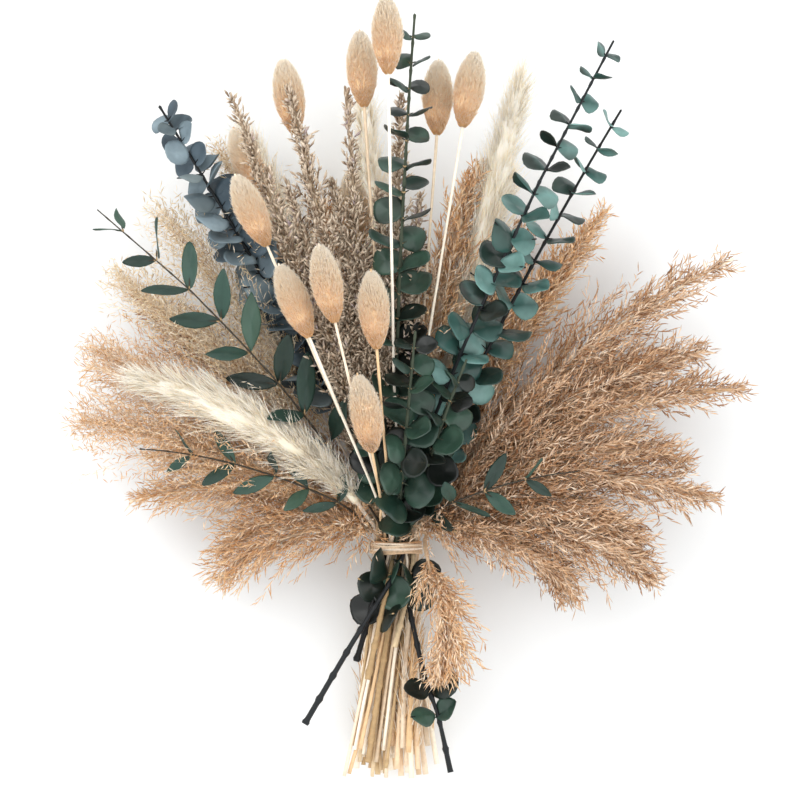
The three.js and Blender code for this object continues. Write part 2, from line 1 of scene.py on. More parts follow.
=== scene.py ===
import json
import math
import bpy
import numpy as np
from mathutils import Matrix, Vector


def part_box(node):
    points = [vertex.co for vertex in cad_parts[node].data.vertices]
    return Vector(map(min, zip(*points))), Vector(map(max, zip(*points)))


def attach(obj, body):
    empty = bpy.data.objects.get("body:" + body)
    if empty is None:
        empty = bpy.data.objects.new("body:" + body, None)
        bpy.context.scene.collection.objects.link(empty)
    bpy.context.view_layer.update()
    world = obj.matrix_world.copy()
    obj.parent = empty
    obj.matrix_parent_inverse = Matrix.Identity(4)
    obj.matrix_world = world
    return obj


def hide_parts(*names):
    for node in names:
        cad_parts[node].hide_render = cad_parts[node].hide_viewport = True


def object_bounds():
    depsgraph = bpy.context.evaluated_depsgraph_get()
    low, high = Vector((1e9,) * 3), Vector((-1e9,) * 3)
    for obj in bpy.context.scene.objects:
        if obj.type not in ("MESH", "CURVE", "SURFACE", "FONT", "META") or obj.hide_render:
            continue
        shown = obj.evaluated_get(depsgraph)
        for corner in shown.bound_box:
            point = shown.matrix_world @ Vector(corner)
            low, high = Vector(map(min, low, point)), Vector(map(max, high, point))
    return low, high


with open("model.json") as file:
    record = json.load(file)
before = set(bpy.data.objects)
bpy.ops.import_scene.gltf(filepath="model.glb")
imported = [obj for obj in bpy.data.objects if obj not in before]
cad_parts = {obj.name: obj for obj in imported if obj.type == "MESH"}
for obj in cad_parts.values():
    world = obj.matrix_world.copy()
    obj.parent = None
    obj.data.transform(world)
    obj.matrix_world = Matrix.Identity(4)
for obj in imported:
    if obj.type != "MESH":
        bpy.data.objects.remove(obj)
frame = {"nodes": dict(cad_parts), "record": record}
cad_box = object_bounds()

MM = 0.001
RIGHT = np.array([1.0, 0.0, 0.0])
AHEAD = np.array([0.0, 1.0, 0.0])      # along the bunch, towards its heads
UP = np.array([0.0, 0.0, 1.0])
FULL_TURN = 2 * np.pi
FLOOR_CLEARANCE = 0.3 * MM


# ---- Curves ----
TINY = 1e-12
SAMPLES_PER_SPAN = 8
NEARLY_UPRIGHT = 0.1      # sine of the angle to straight up, below which +X is the reference


def unit(vectors):
    vectors = np.asarray(vectors, float)
    size = np.linalg.norm(vectors, axis=-1, keepdims=True)
    return vectors / np.maximum(size, TINY)


def lengths_along(points):
    steps = np.linalg.norm(np.diff(points, axis=0), axis=1)
    return np.concatenate([[0], np.cumsum(steps)])


def resample(points, count, values=None):
    """A Catmull-Rom curve through the points, at even distances, with any values carried along."""
    ends = np.vstack([2 * points[0] - points[1], points, 2 * points[-1] - points[-2]])
    spans = len(points) - 1
    at = np.linspace(0, spans, max(count, spans * SAMPLES_PER_SPAN))
    piece = np.minimum(at.astype(int), spans - 1)
    t = (at - piece)[:, None]
    p0, p1, p2, p3 = (ends[piece + k] for k in range(4))
    smooth = 0.5 * (2 * p1 + (p2 - p0) * t + (2 * p0 - 5 * p1 + 4 * p2 - p3) * t**2
                    + (3 * p1 - p0 - 3 * p2 + p3) * t**3)
    gone = lengths_along(smooth)
    even = np.linspace(0, gone[-1], count)
    result = np.stack([np.interp(even, gone, smooth[:, axis]) for axis in range(3)], 1)
    if values is None:
        return result
    return result, np.interp(np.interp(even, gone, at), np.arange(len(points)), values)


def directions(points):
    return unit(np.gradient(points, axis=0))


def frames_along(points):
    """Directions along a curve, and two directions across it that turn as little as they can."""
    along = directions(points)
    across = np.empty_like(along)
    start = np.cross(along[0], UP)
    if np.linalg.norm(start) < NEARLY_UPRIGHT:
        start = np.cross(along[0], RIGHT)
    across[0] = unit(start)
    for i in range(1, len(points)):
        across[i] = unit(across[i - 1] - along[i] * (across[i - 1] @ along[i]))
    return along, across, np.cross(along, across)


# ---- Reading the frame ----
WELD_DECIMALS = 5
LOWEST_VERTICES = 12          # enough to hold a cut end's ring and its middle vertex
LEAF_CORNER = 28              # degrees from a solid leaf's tip direction to its last corners
CLUSTER_REACH = 2.45 * MM     # neighbouring vertices of one ring of a stem are nearer than this
SOLID_LEAF_THICKNESS = 1.4 * MM
THICKNESS_SLACK = 0.1 * MM
LEAF_SIZES = (1.5 * MM, 14 * MM)       # half lengths that a solid leaf may have
OFF_STEM = 2 * MM             # a leaf's free corners are further than this from the stem's middle
LINE_SAMPLES = 400
WHOLE_RING = (5, 6)           # vertices of an untouched ring, and of one with the cut end's middle
RING_STEP = 3 * MM            # whole rings are further apart than this
RING_SIZES = (0.6 * MM, 2.1 * MM)


def welded(node):
    """A node's vertices without doubles, and the set of neighbours of each."""
    mesh = frame["nodes"][node].data
    flat = np.empty(len(mesh.vertices) * 3, np.float32)
    mesh.vertices.foreach_get("co", flat)
    places, index = np.unique(np.round(flat.reshape(-1, 3), WELD_DECIMALS), axis=0, return_inverse=True)
    index = index.ravel()
    neighbours = [set() for _ in places]
    for edge in mesh.edges:
        a, b = (int(index[v]) for v in edge.vertices)
        if a != b:
            neighbours[a].add(b)
            neighbours[b].add(a)
    return places.astype(float), neighbours


def cut_end(places, neighbours):
    """The middle vertex of the cut end: a low vertex, in the middle of its neighbours."""
    lowest = np.argsort(places[:, 1])[:LOWEST_VERTICES]
    off = [np.linalg.norm(places[v] - places[list(neighbours[v])].mean(0)) for v in lowest]
    return int(lowest[int(np.argmin(off))])


def plain_line(node):
    """Centres and radii of a bare stem's rings, found by walking its mesh from the cut end."""
    places, neighbours = welded(node)
    level = {cut_end(places, neighbours)}
    seen = set(level)
    centres, radii = [], []
    while True:
        level = set().union(*(neighbours[v] for v in level)) - seen
        if not level:
            break
        seen |= level
        ring = places[sorted(level)]
        centres.append(ring.mean(0))
        radii.append(np.linalg.norm(ring - ring.mean(0), axis=1).mean())
    return np.array(centres), np.array(radii)


def clusters(places):
    """Groups of vertices that lie close together."""
    left = set(range(len(places)))
    groups = []
    while left:
        group, edge = set(), {left.pop()}
        while edge:
            v = edge.pop()
            group.add(v)
            near = {w for w in left if np.linalg.norm(places[v] - places[w]) < CLUSTER_REACH}
            left -= near
            edge |= near
        groups.append(sorted(group))
    return groups


def ring_chain(places, groups):
    """Middles and radii of a leafy stem's untouched rings, in order from its cut end."""
    rings = [places[group] for group in groups if len(group) in WHOLE_RING]
    rings = [(ring.mean(0), np.linalg.norm(ring - ring.mean(0), axis=1).max()) for ring in rings]
    rings = [ring for ring in rings if RING_SIZES[0] < ring[1] < RING_SIZES[1]]
    rings.sort(key=lambda ring: ring[0][1])
    chain = [rings.pop(0)]
    while rings:
        gaps = [np.linalg.norm(middle - chain[-1][0]) for middle, _ in rings]
        nearest = int(np.argmin(gaps))
        ring = rings.pop(nearest)
        if gaps[nearest] > RING_STEP:
            chain.append(ring)
    return np.array([middle for middle, _ in chain]), np.array([size for _, size in chain])


def solid_leaf(places, neighbours, pair, samples):
    """A leaf as (root, outward, normal, half length), or None if the pair isn't its two faces."""
    a, b = places[pair[0]], places[pair[1]]
    if abs(np.linalg.norm(a - b) - SOLID_LEAF_THICKNESS) > THICKNESS_SLACK:
        return None
    middle = (a + b) / 2
    corners = (neighbours[pair[0]] | neighbours[pair[1]]) - set(pair)
    free = [v for v in corners if np.linalg.norm(samples - places[v], axis=1).min() > OFF_STEM]
    if len(free) < 2:
        return None
    outward = unit(places[free].mean(0) - middle)
    size = ((places[free] - middle) @ outward).max() / math.cos(math.radians(LEAF_CORNER))
    if not LEAF_SIZES[0] < size < LEAF_SIZES[1]:
        return None
    return middle - outward * size, outward, unit(a - b), size


def leafy_line(node):
    """A leafy stem's centres and radii, and its leaves."""
    places, neighbours = welded(node)
    groups = clusters(places)
    line, radii = ring_chain(places, groups)
    samples = resample(line, LINE_SAMPLES)
    pairs = [group for group in groups if len(group) == 2]
    leaves = [solid_leaf(places, neighbours, pair, samples) for pair in pairs]
    return line, radii, [each for each in leaves if each]


# ---- Meshes ----
REFERENCE_LEAN = 0.3      # how far a strand's reference leans from straight up towards its start
NEARLY_PARALLEL = 0.05    # sine of the angle to that reference, below which +X is used
MAP_SIDE = 0.05           # margins on the bake map: beside a material's strip, and at its ends
MAP_END = 0.02


class Growth:
    """Collects closed bits of one piece. tone and along give each vertex its colour."""

    def __init__(self):
        self.parts = []
        self.count = 0

    def add(self, places, faces, tone, along, material=0):
        self.parts.append((places, faces + self.count, tone, along,
                           np.full(len(faces), material, np.int32)))
        self.count += len(places)

    def strands(self, paths, radii, tones, material=0, sides=3):
        """Many thin closed tubes at once. paths is (n, k, 3), radii (n, k), tones (n,)."""
        n, k, _ = paths.shape
        along = unit(np.gradient(paths, axis=1))
        aside = np.cross(along, UP + along[:, :1] * REFERENCE_LEAN)
        parallel = np.linalg.norm(aside, axis=2, keepdims=True) < NEARLY_PARALLEL
        aside = unit(np.where(parallel, RIGHT, aside))
        other = np.cross(along, aside)
        angle = np.arange(sides) * FULL_TURN / sides
        rings = (paths[:, :-1, None] + radii[:, :-1, None, None] * (
            np.cos(angle)[None, None, :, None] * aside[:, :-1, None]
            + np.sin(angle)[None, None, :, None] * other[:, :-1, None]))
        places = np.concatenate([rings.reshape(n, -1, 3), paths[:, -1:]], 1)
        faces = strand_faces(k, sides)
        per = places.shape[1]
        all_faces = (faces[None] + (np.arange(n) * per)[:, None, None]).reshape(-1, 3)
        share = np.concatenate([np.repeat(np.linspace(0, 1, k)[:-1], sides), [1.0]])
        self.add(places.reshape(-1, 3), all_faces, np.repeat(tones, per), np.tile(share, n), material)

    def tube(self, points, radii, tone, material=0, sides=8):
        """One round stalk, with a flat cut end and a blunt tip."""
        along, aside, other = frames_along(points)
        angle = np.arange(sides) * FULL_TURN / sides
        ring = np.cos(angle)[:, None, None] * aside + np.sin(angle)[:, None, None] * other
        places = (points + ring * radii[:, None]).transpose(1, 0, 2).reshape(-1, 3)
        n = len(points)
        places = np.vstack([places, points[0], points[-1] + along[-1] * radii[-1]])
        faces = []
        for i in range(n - 1):
            for s in range(sides):
                a, b = i * sides + s, i * sides + (s + 1) % sides
                faces += [(a, b, b + sides), (a, b + sides, a + sides)]
        for s in range(sides):
            faces.append((n * sides, (s + 1) % sides, s))
            faces.append((n * sides + 1, (n - 1) * sides + s, (n - 1) * sides + (s + 1) % sides))
        share = np.concatenate([np.repeat(np.linspace(0, 1, n), sides), [0, 1]])
        self.add(places, np.array(faces), np.full(len(places), tone), share, material)

    def piece(self, name, slot, nodes, materials):
        """Makes the object, which rides with the bunch and stands for its nodes."""
        places = np.concatenate([p[0] for p in self.parts])
        places[:, 2] = np.maximum(places[:, 2], FLOOR_CLEARANCE)
        faces = np.concatenate([p[1] for p in self.parts])
        tone = np.concatenate([p[2] for p in self.parts])
        along = np.concatenate([p[3] for p in self.parts])
        material = np.concatenate([p[4] for p in self.parts])
        mesh = bpy.data.meshes.new(name)
        mesh.vertices.add(len(places))
        mesh.vertices.foreach_set("co", places.astype(np.float32).ravel())
        mesh.loops.add(faces.size)
        mesh.loops.foreach_set("vertex_index", faces.astype(np.int32).ravel())
        mesh.polygons.add(len(faces))
        mesh.polygons.foreach_set("loop_start", np.arange(0, faces.size, 3, dtype=np.int32))
        mesh.polygons.foreach_set("material_index", material)
        mesh.polygons.foreach_set("use_smooth", np.ones(len(faces), bool))
        mesh.update(calc_edges=True)
        for label, values in (("tone", tone), ("along", along)):
            attribute = mesh.attributes.new(label, "FLOAT", "POINT")
            attribute.data.foreach_set("value", values.astype(np.float32))
        bake_map = mesh.uv_layers.new(name="OFBake")
        corner = faces.ravel()
        strip = np.repeat(material, 3) + MAP_SIDE + (1 - 2 * MAP_SIDE) * tone[corner]
        run = MAP_END + (1 - 2 * MAP_END) * along[corner]
        places_on_map = np.stack([strip / len(materials), run], 1)
        bake_map.data.foreach_set("uv", places_on_map.astype(np.float32).ravel())
        for each in materials:
            mesh.materials.append(each)
        obj = bpy.data.objects.new(name, mesh)
        bpy.context.scene.collection.objects.link(obj)
        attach(obj, "root")
        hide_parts(*nodes)
        return obj


def strand_faces(k, sides):
    """Triangles of one strand of k stations, whose last station is its point."""
    faces = [(0, s + 1, s) for s in range(1, sides - 1)]
    for i in range(k - 2):
        for s in range(sides):
            a, b = i * sides + s, i * sides + (s + 1) % sides
            faces += [(a, b, b + sides), (a, b + sides, a + sides)]
    last = (k - 2) * sides
    tip = (k - 1) * sides
    faces += [(last + s, last + (s + 1) % sides, tip) for s in range(sides)]
    return np.array(faces)


# ---- Materials: colour runs over tone (which bit) and along (where on it) ----
SCATTER_RADIUS = (0.003, 0.002, 0.0012)
GRAIN_DETAIL = 4


def srgb(code):
    """The linear colour of a six-digit sRGB code."""
    parts = [int(code[i:i + 2], 16) / 255 for i in (0, 2, 4)]
    return [p / 12.92 if p <= 0.04045 else ((p + 0.055) / 1.055) ** 2.4 for p in parts] + [1]


def tone_ramp(nodes, links, tones):
    """Colour by the tone attribute, evenly through the tones."""
    tone = nodes.new("ShaderNodeAttribute")
    tone.attribute_name = "tone"
    ramp = nodes.new("ShaderNodeValToRGB")
    ramp.color_ramp.elements[0].color = srgb(tones[0])
    ramp.color_ramp.elements[1].color = srgb(tones[-1])
    for i, code in enumerate(tones[1:-1], 1):
        ramp.color_ramp.elements.new(i / (len(tones) - 1)).color = srgb(code)
    links.new(tone.outputs["Fac"], ramp.inputs["Fac"])
    return ramp.outputs["Color"]


def blended_tip(nodes, links, color, tip, tip_from, tip_to):
    """A colour that changes to the tip's, between two places on the along attribute."""
    along = nodes.new("ShaderNodeAttribute")
    along.attribute_name = "along"
    spread = nodes.new("ShaderNodeMapRange")
    spread.inputs["From Min"].default_value = tip_from
    spread.inputs["From Max"].default_value = tip_to
    links.new(along.outputs["Fac"], spread.inputs["Value"])
    mixed = nodes.new("ShaderNodeMix")
    mixed.data_type = "RGBA"
    mixed.inputs["B"].default_value = srgb(tip)
    links.new(spread.outputs["Result"], mixed.inputs["Factor"])
    links.new(color, mixed.inputs["A"])
    return mixed.outputs["Result"]


def grained(nodes, links, color, strength, scale):
    """A colour made lighter and darker by fine noise."""
    where = nodes.new("ShaderNodeTexCoord")
    grain = nodes.new("ShaderNodeTexNoise")
    grain.inputs["Scale"].default_value = scale
    grain.inputs["Detail"].default_value = GRAIN_DETAIL
    links.new(where.outputs["Object"], grain.inputs["Vector"])
    level = nodes.new("ShaderNodeMapRange")
    level.inputs["To Min"].default_value = 1 - strength
    level.inputs["To Max"].default_value = 1 + strength
    links.new(grain.outputs["Fac"], level.inputs["Value"])
    shaded = nodes.new("ShaderNodeVectorMath")
    shaded.operation = "SCALE"
    links.new(color, shaded.inputs[0])
    links.new(level.outputs["Result"], shaded.inputs["Scale"])
    return shaded.outputs["Vector"]


def plant_material(name, tones, tip=None, tip_from=0.0, tip_to=1.0, noise=0.0, noise_scale=0.0,
                   roughness=0.8, gloss=0.3, through=0.0):
    """A material whose colour runs over a bit's tone, its length and fine noise."""
    material = bpy.data.materials.new(name)
    material.use_nodes = True
    nodes, links = material.node_tree.nodes, material.node_tree.links
    shader = nodes["Principled BSDF"]
    shader.inputs["Roughness"].default_value = roughness
    shader.inputs["Specular IOR Level"].default_value = gloss
    if through:
        shader.inputs["Subsurface Weight"].default_value = through
        shader.inputs["Subsurface Radius"].default_value = SCATTER_RADIUS
        shader.inputs["Subsurface Scale"].default_value = 1.0
    color = tone_ramp(nodes, links, tones)
    if tip:
        color = blended_tip(nodes, links, color, tip, tip_from, tip_to)
    if noise:
        color = grained(nodes, links, color, noise, noise_scale)
    links.new(color, shader.inputs["Base Color"])
    return material


def stalk_materials():
    return {
        "straw": plant_material("straw", ["c49c70", "f0dfc4", "fdf5e8", "d8a868", "f8ecd8", "d4b896"],
                                noise=0.22, noise_scale=400, roughness=0.6),
        "brown_stalk": plant_material("brown_stalk", ["c4a67e", "dcc4a0", "ecdabc"],
                                      tip="9a8670", tip_from=0.3, tip_to=0.5,
                                      noise=0.3, noise_scale=400, roughness=0.7),
        "twig": plant_material("twig", ["060708", "0c0e10", "181c1f"],
                               noise=0.5, noise_scale=500, roughness=0.5),
        "green_twig": plant_material("green_twig", ["a98a62", "c8ac84", "dcc6a2"],
                                     tip="434b3d", tip_from=0.24, tip_to=0.34,
                                     noise=0.3, noise_scale=500),
        "dark_sprig": plant_material("dark_sprig", ["a98a62", "c8ac84"],
                                     tip="3c352c", tip_from=0.24, tip_to=0.34,
                                     noise=0.3, noise_scale=500),
        "raffia": plant_material("raffia_strand", ["d2a67c", "e8c8a4", "f6dfc2", "feeedb"],
                                 noise=0.3, noise_scale=700, roughness=0.7),
    }


def leaf_materials():
    return {
        # The near-black tones here are painted shade and the lightest, 324d3f, a painted highlight; the
        # greens between are the leaves' own colour.
        "eucalyptus": plant_material("eucalyptus_leaf",
                                     ["040705", "0a120e", "12211a", "1b332a", "324d3f", "0f1912"],
                                     noise=0.35, noise_scale=180, roughness=0.42, gloss=0.5),
        # The near-black tones here are painted shade and the light teal, 759d97, a painted highlight;
        # the greens and teals between are the leaves' own colour.
        "eucalyptus_teal": plant_material("eucalyptus_teal_leaf",
                                          ["0a100d", "121e18", "1b342d", "2f5650", "759d97", "1c2a23"],
                                          noise=0.3, noise_scale=180, roughness=0.42, gloss=0.5),
        "eucalyptus_grey": plant_material("eucalyptus_grey_leaf",
                                          ["37434c", "586771", "8798a0", "46545c", "727e80"],
                                          noise=0.3, noise_scale=180, roughness=0.6),
        "sprig": plant_material("sprig_leaf", ["131f19", "1c3028", "2a463c", "3b5546"],
                                noise=0.25, noise_scale=160, roughness=0.5, gloss=0.4),
    }


def head_materials():
    return {
        "bunny": plant_material("bunny_hair", ["d88f48", "f4be84", "fdddb0", "fff3de"],
                                tip="fff1d9", tip_from=0.5, through=0.4),
        "pampas": plant_material("pampas_hair", ["fde6be", "ffeece", "fff4de", "fff9ec"],
                                 tip="fff8ea", tip_from=0.3, through=0.3),
        # The deepest brown, 623c24, is painted shade between the plumes; the tans and creams above it
        # are the spikelets' own colour.
        "reed": plant_material("reed_spikelet", ["623c24", "aa7a54", "dab08c", "f2d2b4", "ffe9d0"],
                               tip="ac7c56", tip_from=0.5, through=0.15),
        "pale_reed": plant_material("pale_reed_spikelet",
                                    ["b8804f", "dca678", "f0c69c", "fae0c2", "fff0dc"],
                                    tip="cf9a6c", tip_from=0.5, through=0.2),
        "fine_grass": plant_material("fine_grass_spikelet",
                                     ["a07850", "e0c298", "f2dab6", "faead0", "fef3e2"],
                                     through=0.2),
        "lavender": plant_material("lavender_bud", ["5e4836", "9a826c", "c1ac96", "dfccb6", "a4939c"],
                                   tip="eadbc4", tip_from=0.5),
    }


# ---- Growth along a stem ----
def around(aside, other, angles):
    """Unit directions across a stem, at the given angles round it."""
    return np.cos(angles)[:, None] * aside + np.sin(angles)[:, None] * other


FEWEST_STATIONS = 12
THINNEST_STALK = 0.35 * MM
STALK_STEP = 7 * MM
STALK_UNEVENNESS = 0.12
JOINTED_STEP = 1.5 * MM
JOINT_SPACING = 15 * MM
JOINT_WIDTH = 1.3 * MM
JOINT_SWELL = 0.45        # how much thicker a woody twig is at its joints


def stalk(growth, line, radii, rng, material):
    """An uneven straw stalk, from its cut end to the tip of its head."""
    count = max(FEWEST_STATIONS, int(lengths_along(line)[-1] / STALK_STEP))
    points, thick = resample(line, count, radii)
    wave = 1 + STALK_UNEVENNESS * rng.uniform(-1, 1, count)
    growth.tube(points, np.maximum(thick * wave, THINNEST_STALK), rng.random(), material)


def jointed_twig(growth, line, radii, rng, material):
    """A woody twig, swollen at the joints where its pairs of leaves grow or grew."""
    total = lengths_along(line)[-1]
    count = int(total / JOINTED_STEP)
    points, thick = resample(line, count, radii)
    off_joint = (np.linspace(0, total, count) + rng.uniform(0, JOINT_SPACING)) % JOINT_SPACING
    off_joint = np.minimum(off_joint, JOINT_SPACING - off_joint)
    wave = 1 + JOINT_SWELL * np.exp(-(off_joint / JOINT_WIDTH) ** 2)
    growth.tube(points, np.maximum(thick * wave, THINNEST_STALK), rng.random(), material)


STALK_RINGS = 3
HEAD_WIDTH = 1.8          # a ring so many times as wide as the stalk belongs to the head


def head_start(radii):
    """The station where a head begins: the last before it is much wider than the stalk."""
    wide = np.nonzero(radii > HEAD_WIDTH * radii[:STALK_RINGS].mean())[0]
    return max(1, int(wide[0]) - 1) if len(wide) else len(radii) // 2


def bent_paths(roots, heading, lengths, stations, pull, rng, wander):
    """Paths that start along their heading and bend steadily towards the pull."""
    n = len(roots)
    step = (lengths / (stations - 1))[:, None]
    paths = np.empty((n, stations, 3))
    paths[:, 0] = roots
    now = unit(heading)
    for k in range(1, stations):
        now = unit(now + pull / (stations - 1) + rng.normal(0, wander / stations, (n, 3)))
        paths[:, k] = paths[:, k - 1] + now * step
    return paths


def on_curve(points, shares):
    """Places, directions and cross directions at shares of a curve's length."""
    along, aside, other = frames_along(points)
    gone = lengths_along(points)
    at = shares * gone[-1]

    def rows_at(rows):
        return np.stack([np.interp(at, gone, rows[:, axis]) for axis in range(3)], 1)

    return rows_at(points), unit(rows_at(along)), unit(rows_at(aside)), unit(rows_at(other))


# ---- Branched heads ----
# In millimetres: length of the branches, half thickness of a branch (thin), spacing of the items
# on them, length (item) and half thickness (fat) of an item. In degrees: angle of the branches off
# the stem, and item_angle off the branch. pull: upward and along the stem, and wander: how much a
# branch strays. start: where the head begins, in its own lengths from where the solid's head does.
PANICLES = {
    "reed": dict(
        branches=300, length=(12, 46), angle=(12, 46), pull=(-0.3, 0.3), wander=0.5, start=-0.3,
        thin=0.13, spacing=2.4, item=(4.5, 8.5), fat=0.46, item_angle=(12, 46)),
    "top_reed": dict(
        branches=440, length=(12, 40), angle=(10, 38), pull=(-0.2, 0.3), wander=0.4, start=-0.3,
        thin=0.13, spacing=2.4, item=(4.5, 8.5), fat=0.5, item_angle=(12, 46)),
    "low_reed": dict(
        branches=240, length=(16, 56), angle=(10, 40), pull=(-0.3, 0.3), wander=0.5, start=-0.1,
        thin=0.13, spacing=2.4, item=(4.5, 8.5), fat=0.46, item_angle=(12, 46)),
    "pale_reed": dict(
        branches=210, length=(12, 44), angle=(12, 48), pull=(-0.3, 0.3), wander=0.6, start=-0.3,
        thin=0.13, spacing=2.6, item=(4.5, 8.5), fat=0.42, item_angle=(12, 46)),
    "pampas": dict(
        branches=560, length=(13, 32), angle=(8, 30), pull=(-0.08, 0.3), wander=0.25, start=-0.47,
        thin=0.12, spacing=1.4, item=(9, 19), fat=0.2, item_angle=(3, 16)),
    "fine_grass": dict(
        branches=330, length=(26, 64), angle=(10, 40), pull=(-0.2, 0.3), wander=0.6, start=-0.5,
        thin=0.13, spacing=3.4, item=(3.0, 5.6), fat=0.34, item_angle=(15, 80)),
    "lavender": dict(
        branches=230, length=(5, 20), angle=(12, 40), pull=(0.05, 0.3), wander=0.25, start=-0.5,
        thin=0.3, spacing=2.0, item=(3.4, 6.4), fat=0.85, item_angle=(20, 55)),
}
HEAD_SAMPLES = 120
EARLIEST_HEAD = 0.35      # share of a stem before which no head begins
LAST_BRANCH = 0.985       # share of a stem at which its last branch grows
BRANCHES_VARY = (0.85, 1.15)
LENGTHS_VARY = (0.35, 1.1)     # from branch to branch
HEADS_VARY = (0.85, 1.12)      # from head to head
USUAL_HEAD = 120 * MM     # a shorter head than this has shorter branches
SWELL_FROM = 0.16         # a head swells as part of half a sine wave: where on it the head begins,
SWELL_RUN = 0.74          # and how much of it the head runs through
SWELL_FROM_OF = {"pampas": 0.05}
SWELL_FULLNESS = 0.7
CALM_FROM = 0.6           # share of a head from which its growth gets shorter towards the tip,
TIP_CALM = 0.35           # down to this much of its full length
BRANCH_STATIONS = 6
BRANCH_TIP = 0.4          # thickness at a branch's tip, as a share of that at its foot
CORE_FROM = 0.02          # share of the stem between a pampas plume's start and its soft core's
CORE_SHARE = 0.66         # of the solid's radius
PLUME_CORE = 2.4 * MM     # least radius of that core
CORE_TONE = 0.6
CORE_SIDES = 12
BRANCH_TONE_FROM = 0.2    # least tone of a branch, and how far it ranges above that
BRANCH_TONE_RANGE = 0.6


def panicle(growth, kind, line, radii, rng, material, twig_material):
    """A branched head: side branches off the stem, each set with spikelets, hairs or buds."""
    form = PANICLES[kind]
    whole = resample(line, HEAD_SAMPLES)
    total = lengths_along(whole)[-1]
    solid_from = lengths_along(line)[head_start(radii)] / total
    begin = max(EARLIEST_HEAD, solid_from + form["start"] * (1 - solid_from))
    n = int(form["branches"] * rng.uniform(*BRANCHES_VARY))
    share = np.sort(rng.random(n))
    root, along, aside, other = on_curve(whole, begin + (LAST_BRANCH - begin) * share)
    off = around(aside, other, rng.random(n) * FULL_TURN)
    low, high = form["length"]
    wave = np.pi * (SWELL_FROM_OF.get(kind, SWELL_FROM) + SWELL_RUN * share)
    swell = np.sin(wave) ** SWELL_FULLNESS
    calm = 1 - (1 - TIP_CALM) * np.clip((share - CALM_FROM) / (1 - CALM_FROM), 0, 1)
    lengths = (low + (high - low) * swell * rng.uniform(*LENGTHS_VARY, n)) * calm * MM
    lengths *= min(1, total * (1 - begin) / USUAL_HEAD) * rng.uniform(*HEADS_VARY)
    least, most = form["angle"]
    lean = np.radians(least + (most - least) * rng.random(n))[:, None]
    heading = along * np.cos(lean) + off * np.sin(lean)
    pull = UP * form["pull"][0] + along * form["pull"][1]
    paths = bent_paths(root, heading, lengths, BRANCH_STATIONS, pull, rng, form["wander"])
    taper = np.linspace(1, BRANCH_TIP, BRANCH_STATIONS)
    tones = rng.random(n)
    if kind == "pampas":
        twig_material = material
        core, thick = resample(line, HEAD_SAMPLES, radii)
        inside = lengths_along(core) / total > begin + CORE_FROM
        core_radii = np.maximum(thick[inside] * CORE_SHARE, PLUME_CORE)
        growth.tube(core[inside], core_radii, CORE_TONE, material, CORE_SIDES)
    branch_radii = np.tile(taper * form["thin"] * MM, (n, 1))
    branch_tones = tones * BRANCH_TONE_RANGE + BRANCH_TONE_FROM
    growth.strands(paths, branch_radii, branch_tones, twig_material)
    items(growth, form, paths, lengths, tones, rng, material)


FEWEST_ITEMS = 3
FIRST_ITEM = 0.12         # share of a branch at which its first item grows
ITEM_STATIONS = 3
ITEM_SAG = 0.1
ITEM_WANDER = 0.3
ITEM_FATNESS = (0.7, 1.2)
ITEM_FOOT = 0.45          # thickness at an item's foot, as a share of that at its middle
OWN_TONE = 0.5            # share of an item's tone that is its own; the rest is its branch's


def items(growth, form, paths, lengths, tones, rng, material):
    """Spikelets, hairs or buds set along each branch and at its tip."""
    stations = paths.shape[1]
    counts = np.maximum(FEWEST_ITEMS, (lengths / (form["spacing"] * MM)).astype(int))
    owner = np.repeat(np.arange(len(paths)), counts)
    place = np.concatenate([np.linspace(FIRST_ITEM, 1, c) for c in counts]) * (stations - 1)
    below = np.minimum(place.astype(int), stations - 2)
    part = (place - below)[:, None]
    start, end = paths[owner, below], paths[owner, below + 1]
    root = start * (1 - part) + end * part
    along = unit(end - start)
    aside = unit(np.cross(along, rng.normal(0, 1, along.shape)))
    tilt = np.radians(rng.uniform(*form["item_angle"], len(root)))[:, None]
    heading = along * np.cos(tilt) + aside * np.sin(tilt)
    size = rng.uniform(*form["item"], len(root)) * MM
    shape = bent_paths(root, heading, size, ITEM_STATIONS, UP * -ITEM_SAG, rng, ITEM_WANDER)
    fat = form["fat"] * MM * rng.uniform(*ITEM_FATNESS, len(root))
    thick = np.stack([fat * ITEM_FOOT, fat, fat * 0], 1)
    shade = np.clip(tones[owner] * (1 - OWN_TONE) + rng.random(len(root)) * OWN_TONE, 0, 1)
    growth.strands(shape, thick, shade, material)


# ---- Oval heads ----
BUNNY_SAMPLES = 160
BUNNY_HAIRS = 8500
HAIRS_FROM = 0.02         # share of the head at which its hairs begin,
HAIRS_RUN = 0.92          # and over how much of it they grow
OVAL_FROM = 0.03          # the head's outline is part of half a sine wave, as in a branched head
OVAL_RUN = 0.95
OVAL_FULLNESS = 0.6
HAIR_DEPTH = 0.74         # of the solid's radius: how far out the hairs are rooted
HAIR_ROOTS = (0.8, 1.0)
HAIR_LEAN = 44            # degrees off the stem at the head's foot
LEAN_LOST = 30            # by the head's top
LEAN_VARIES = 5
HAIR_LENGTH = (2.8, 5.4)
SHORTEST_HAIR = 0.4       # of its length where the outline is narrowest, and what the swell adds
SWELL_HAIR = 0.7
HAIR_STATIONS = 4
HAIR_PULL = 0.7
HAIR_WANDER = 0.2
HAIR_RADII = np.array([0.17, 0.14, 0.09, 0]) * MM
FOOT_TONE = 0.2           # tone at the head's foot, how much it gains by the top, and how it varies
TONE_GAIN = 0.75
TONE_VARIES = 0.06
OVAL_CORE = 0.76          # the core's radius, as a share of the solid's
THINNEST_CORE = 0.4 * MM
CORE_RUN = 0.95           # share of the head that the core fills
ROUND_TOP = (0.99, 0.3)   # where the core's rounded top ends and how long it is, in shares
ROUND_FOOT = 0.25
OVAL_TONE = 0.5
OVAL_SIDES = 16


